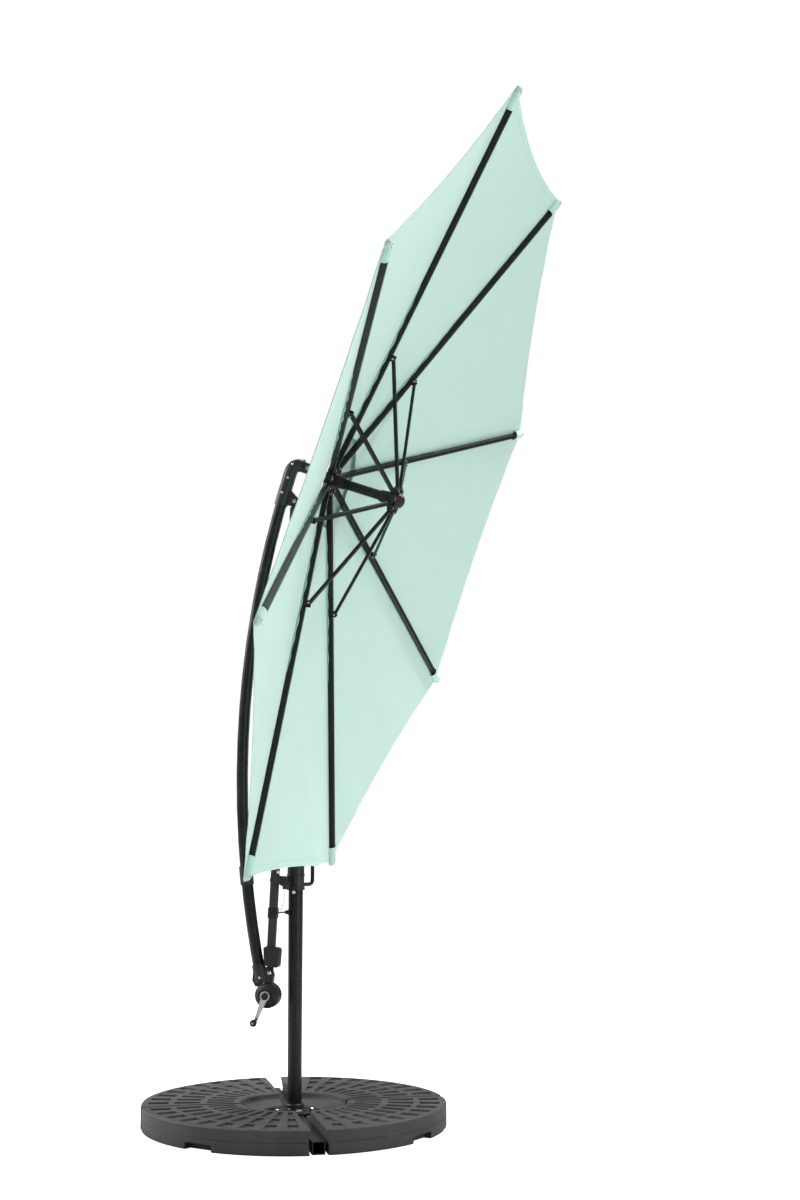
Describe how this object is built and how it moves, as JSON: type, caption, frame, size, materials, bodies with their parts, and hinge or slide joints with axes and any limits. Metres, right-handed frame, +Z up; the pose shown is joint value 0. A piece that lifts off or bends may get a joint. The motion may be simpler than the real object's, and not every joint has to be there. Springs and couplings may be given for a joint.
{
  "type": "cantilever patio umbrella",
  "caption": "Cantilever patio umbrella with a bowed hanging arm, ribbed mint canopy, tall mast and a round base of weight plates on crossed legs.",
  "frame": {"origin": "on the ground under the mast, at the middle of the base", "axes": "+Z up along the mast; +X from the mast towards the canopy; the arm hangs on the -Y side of the mast"},
  "size_m": [1.3584, 2.5462, 3.2305],
  "materials": {
    "weight_resin": "moulded dark grey resin, lightly scuffed",
    "charcoal_coat": "charcoal powder coat, satin",
    "rib_coat": "black powder coat, satin",
    "cast_metal": "dark painted castings, fine texture",
    "black_plastic": "black moulded plastic",
    "black_rubber": "soft black rubber",
    "zinc_plate": "bright plated steel",
    "white_nylon": "white nylon",
    "mint_cloth": "mint green woven polyester, matte"
  },
  "bodies": {
    "base": {"base_weight_1": "weight_resin", "base_weight_2": "weight_resin", "base_weight_3": "weight_resin", "base_weight_4": "weight_resin", "leg_long": "charcoal_coat", "leg_cross": "charcoal_coat", "foot_flange": "charcoal_coat", "foot_spigot": "zinc_plate", "foot_bolt_1": "zinc_plate", "foot_bolt_2": "zinc_plate"},
    "mast": {"mast": "charcoal_coat", "mast_cap": "black_plastic", "mast_collar": "black_plastic", "stop_button": "white_nylon"},
    "head": {"slide_sleeve": "cast_metal", "grip_handle": "charcoal_coat", "pivot_bolt": "black_plastic", "pivot_nut": "zinc_plate"},
    "arm": {"arm_lower_tube": "charcoal_coat", "arm_upper_tube": "charcoal_coat", "arm_joint_collar": "cast_metal", "elbow": "cast_metal", "sleeve_bracket": "cast_metal", "strut": "charcoal_coat", "strut_top_bolt": "zinc_plate", "strut_foot_bolt": "zinc_plate", "lower_bracket": "cast_metal", "strut_collar": "black_plastic", "bumper_clip": "charcoal_coat", "bumper_pad": "black_rubber", "tilt_bolt": "zinc_plate", "winch_housing": "cast_metal", "winch_cover": "cast_metal"},
    "crank": {"winch_drum": "zinc_plate", "crank_arm": "zinc_plate", "crank_cap": "black_plastic"},
    "knob": {"crank_knob": "black_plastic"},
    "crown": {"crown_hub": "black_plastic", "crown_neck": "cast_metal", "canopy": "mint_cloth", "vent_cap": "mint_cloth"},
    "runner": {"runner_hub": "black_plastic", "centre_tube": "charcoal_coat"},
    "rib_1": {"rib_1": "rib_coat"},
    "stretcher_1": {"stretcher_1": "rib_coat"},
    "rib_2": {"rib_2": "rib_coat"},
    "stretcher_2": {"stretcher_2": "rib_coat"},
    "rib_3": {"rib_3": "rib_coat"},
    "stretcher_3": {"stretcher_3": "rib_coat"},
    "rib_4": {"rib_4": "rib_coat"},
    "stretcher_4": {"stretcher_4": "rib_coat"},
    "rib_5": {"rib_5": "rib_coat"},
    "stretcher_5": {"stretcher_5": "rib_coat"},
    "rib_6": {"rib_6": "rib_coat"},
    "stretcher_6": {"stretcher_6": "rib_coat"},
    "rib_7": {"rib_7": "rib_coat"},
    "stretcher_7": {"stretcher_7": "rib_coat"},
    "rib_8": {"rib_8": "rib_coat"},
    "stretcher_8": {"stretcher_8": "rib_coat"}
  },
  "joints": [
    {"name": "mast_swivel", "type": "hinge", "parent": "base", "child": "mast", "pos_m": [0, 0, 0], "axis": [0, 0, 1], "continuous": true},
    {"name": "head_slide", "type": "slide", "parent": "mast", "child": "head", "axis": [0, 0, 1], "range_m": [0, 0.95]},
    {"name": "arm_swing", "type": "hinge", "parent": "head", "child": "arm", "pos_m": [-0.038, -0.058, 0.797], "axis": [0, 1, 0], "range_deg": [0, 70.6]},
    {"name": "crank_turn", "type": "hinge", "parent": "arm", "child": "crank", "pos_m": [-0.076, -0.058, 0.423], "axis": [0, 1, 0], "continuous": true},
    {"name": "knob_spin", "type": "hinge", "parent": "crank", "child": "knob", "pos_m": [-0.11, -0.108, 0.338], "axis": [0, 1, 0], "continuous": true},
    {"name": "canopy_tilt", "type": "hinge", "parent": "arm", "child": "crown", "pos_m": [0.052, -0.058, 2.17], "axis": [0, -1, 0], "range_deg": [0, 30]},
    {"name": "canopy_fold", "type": "hinge", "parent": "crown", "child": "rib_1", "pos_m": [0.14527, -0.07331, 2.16486], "axis": [0.1271, 0.9239, 0.361], "range_deg": [0, 70], "deforming": ["canopy", "vent_cap"]},
    {"name": "stretcher_1_fold", "type": "hinge", "parent": "rib_1", "child": "stretcher_1", "pos_m": [0.38159, -0.233, 2.49038], "axis": [0.1271, 0.9239, 0.361], "range_deg": [-140, 0]},
    {"name": "rib_2_fold", "type": "hinge", "parent": "crown", "child": "rib_2", "pos_m": [0.14527, -0.04269, 2.16486], "axis": [-0.1271, 0.9239, -0.361], "range_deg": [0, 70]},
    {"name": "stretcher_2_fold", "type": "hinge", "parent": "rib_2", "child": "stretcher_2", "pos_m": [0.38159, 0.117, 2.49038], "axis": [-0.1271, 0.9239, -0.361], "range_deg": [-140, 0]},
    {"name": "rib_3_fold", "type": "hinge", "parent": "crown", "child": "rib_3", "pos_m": [0.13809, -0.02105, 2.14444], "axis": [-0.3069, 0.3827, -0.8714], "range_deg": [0, 70]},
    {"name": "stretcher_3_fold", "type": "hinge", "parent": "rib_3", "child": "stretcher_3", "pos_m": [0.29939, 0.36449, 2.25694], "axis": [-0.3069, 0.3827, -0.8714], "range_deg": [-140, 0]},
    {"name": "rib_4_fold", "type": "hinge", "parent": "crown", "child": "rib_4", "pos_m": [0.12792, -0.02105, 2.11556], "axis": [-0.3069, -0.3827, -0.8714], "range_deg": [0, 70]},
    {"name": "stretcher_4_fold", "type": "hinge", "parent": "rib_4", "child": "stretcher_4", "pos_m": [0.18313, 0.36449, 1.92681], "axis": [-0.3069, -0.3827, -0.8714], "range_deg": [-140, 0]},
    {"name": "rib_5_fold", "type": "hinge", "parent": "crown", "child": "rib_5", "pos_m": [0.12072, -0.04269, 2.09514], "axis": [-0.1271, -0.9239, -0.361], "range_deg": [0, 70]},
    {"name": "stretcher_5_fold", "type": "hinge", "parent": "rib_5", "child": "stretcher_5", "pos_m": [0.10093, 0.117, 1.69337], "axis": [-0.1271, -0.9239, -0.361], "range_deg": [-140, 0]},
    {"name": "rib_6_fold", "type": "hinge", "parent": "crown", "child": "rib_6", "pos_m": [0.12072, -0.07331, 2.09514], "axis": [0.1271, -0.9239, 0.361], "range_deg": [0, 70]},
    {"name": "stretcher_6_fold", "type": "hinge", "parent": "rib_6", "child": "stretcher_6", "pos_m": [0.10093, -0.233, 1.69337], "axis": [0.1271, -0.9239, 0.361], "range_deg": [-140, 0]},
    {"name": "rib_7_fold", "type": "hinge", "parent": "crown", "child": "rib_7", "pos_m": [0.12792, -0.09495, 2.11556], "axis": [0.3069, -0.3827, 0.8714], "range_deg": [0, 70]},
    {"name": "stretcher_7_fold", "type": "hinge", "parent": "rib_7", "child": "stretcher_7", "pos_m": [0.18313, -0.48049, 1.92681], "axis": [0.3069, -0.3827, 0.8714], "range_deg": [-140, 0]},
    {"name": "rib_8_fold", "type": "hinge", "parent": "crown", "child": "rib_8", "pos_m": [0.13809, -0.09495, 2.14444], "axis": [0.3069, 0.3827, 0.8714], "range_deg": [0, 70]},
    {"name": "stretcher_8_fold", "type": "hinge", "parent": "rib_8", "child": "stretcher_8", "pos_m": [0.29939, -0.48049, 2.25694], "axis": [0.3069, 0.3827, 0.8714], "range_deg": [-140, 0]},
    {"name": "runner_travel", "type": "hinge", "parent": "stretcher_1", "child": "runner", "pos_m": [0.36179, -0.07331, 2.08861], "axis": [0.1271, 0.9239, 0.361], "range_deg": [0, 70]}
  ],
  "couplings": [
    {"joint": "crank_turn", "follows": "canopy_fold", "ratio": 37},
    {"joint": "stretcher_1_fold", "follows": "canopy_fold", "ratio": -2},
    {"joint": "rib_2_fold", "follows": "canopy_fold", "ratio": 1},
    {"joint": "stretcher_2_fold", "follows": "canopy_fold", "ratio": -2},
    {"joint": "rib_3_fold", "follows": "canopy_fold", "ratio": 1},
    {"joint": "stretcher_3_fold", "follows": "canopy_fold", "ratio": -2},
    {"joint": "rib_4_fold", "follows": "canopy_fold", "ratio": 1},
    {"joint": "stretcher_4_fold", "follows": "canopy_fold", "ratio": -2},
    {"joint": "rib_5_fold", "follows": "canopy_fold", "ratio": 1},
    {"joint": "stretcher_5_fold", "follows": "canopy_fold", "ratio": -2},
    {"joint": "rib_6_fold", "follows": "canopy_fold", "ratio": 1},
    {"joint": "stretcher_6_fold", "follows": "canopy_fold", "ratio": -2},
    {"joint": "rib_7_fold", "follows": "canopy_fold", "ratio": 1},
    {"joint": "stretcher_7_fold", "follows": "canopy_fold", "ratio": -2},
    {"joint": "rib_8_fold", "follows": "canopy_fold", "ratio": 1},
    {"joint": "stretcher_8_fold", "follows": "canopy_fold", "ratio": -2},
    {"joint": "runner_travel", "follows": "canopy_fold", "ratio": 1}
  ]
}
